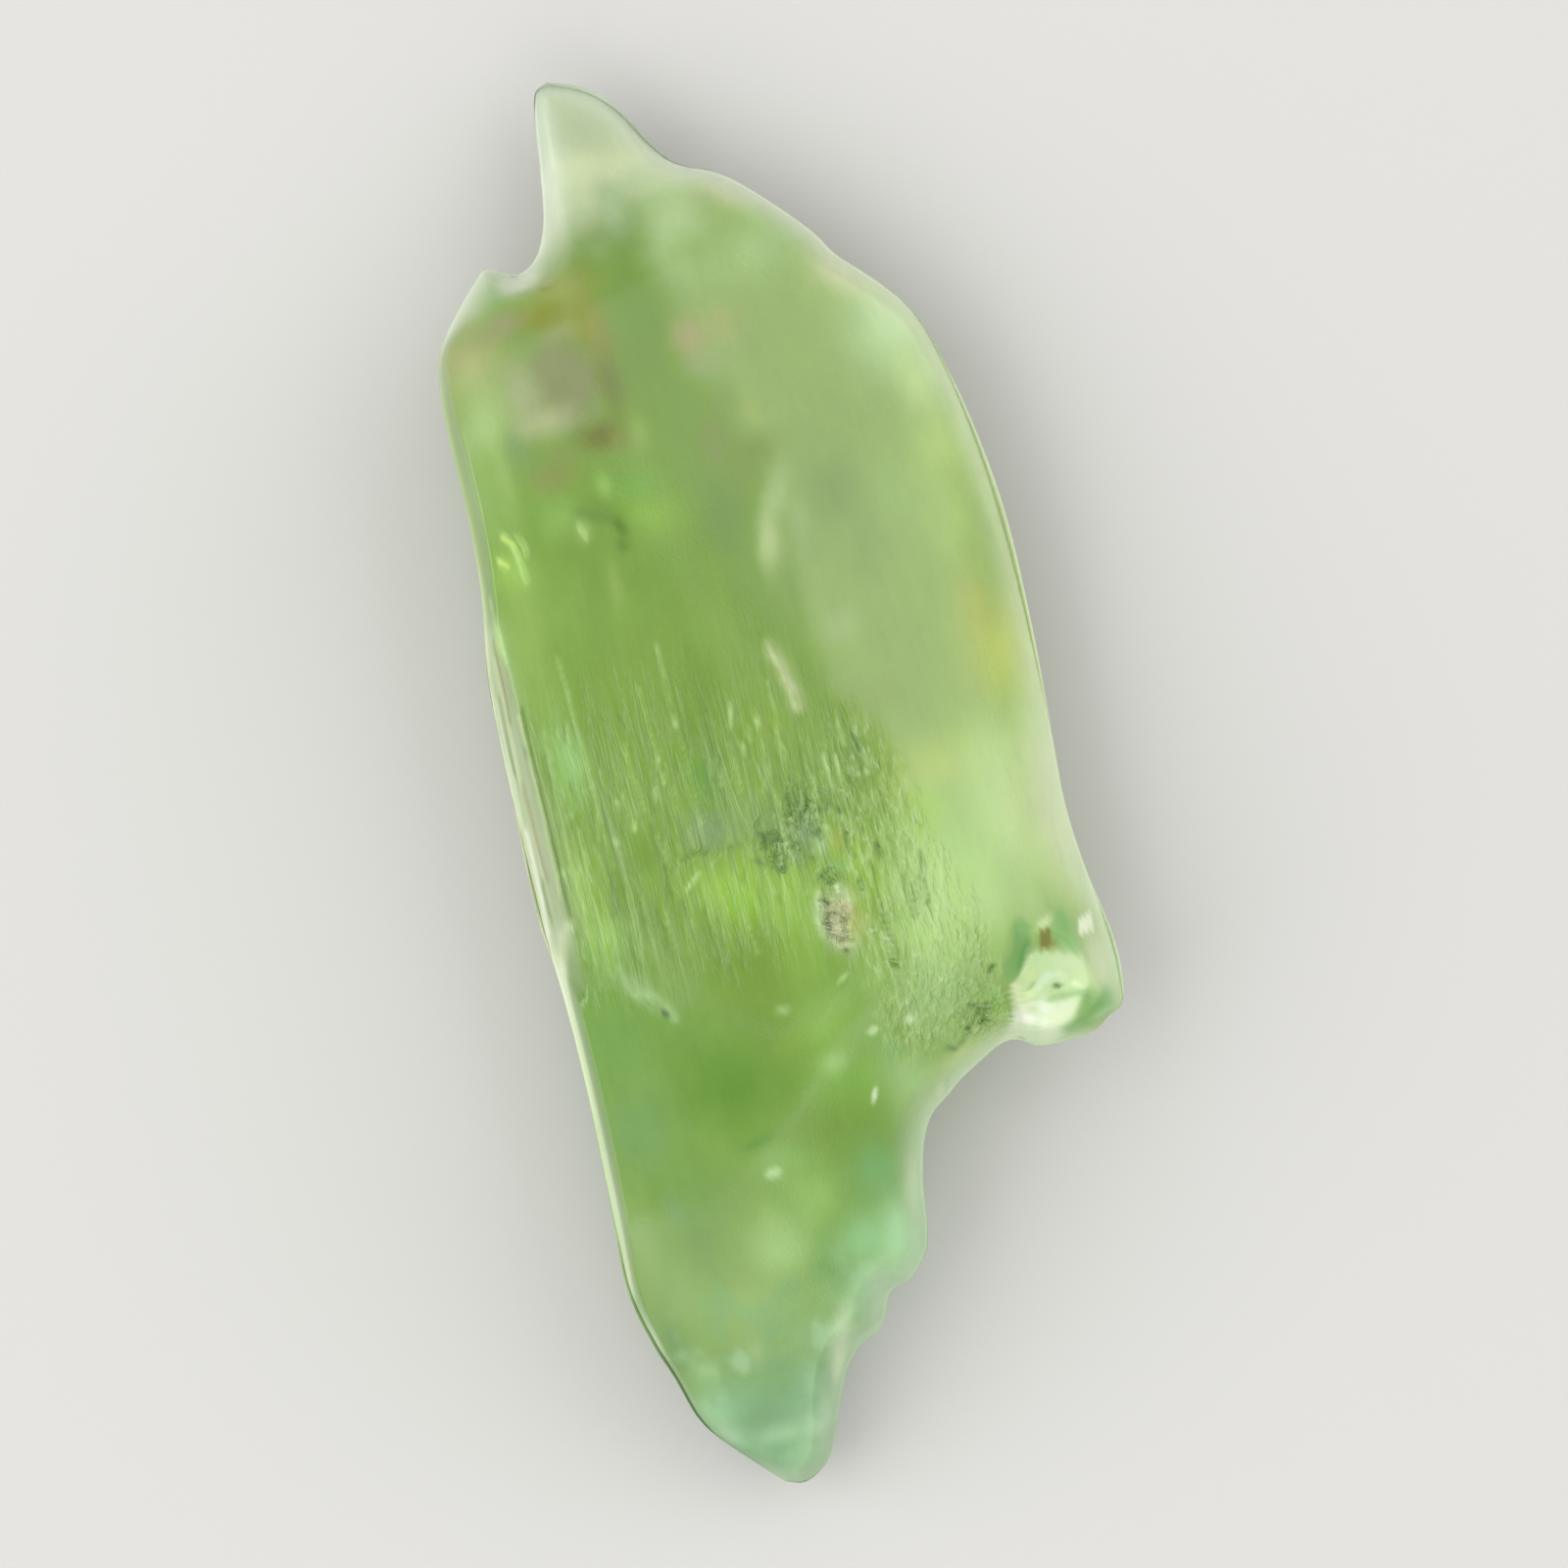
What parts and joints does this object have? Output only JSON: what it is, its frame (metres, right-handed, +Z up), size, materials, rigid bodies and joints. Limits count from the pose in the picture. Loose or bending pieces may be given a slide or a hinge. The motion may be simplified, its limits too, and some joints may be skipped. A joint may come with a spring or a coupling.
{
  "type": "hiddenite crystal",
  "caption": "Natural green hiddenite crystal, a flattened striated blade with ragged, thinned ends and a broken lower corner, lying on its flat back face.",
  "frame": {"origin": "under the middle of the crystal's bounding box, on the back face it rests on", "axes": "+Y along the crystal's length towards the thin fin, +X across its width, +Z up from the rest face through the striated front"},
  "size_m": [0.016, 0.041, 0.0076],
  "materials": {
    "hiddenite": "translucent, satin, etched"
  },
  "bodies": {
    "root": {"hiddenite_crystal": "hiddenite"}
  },
  "joints": []
}
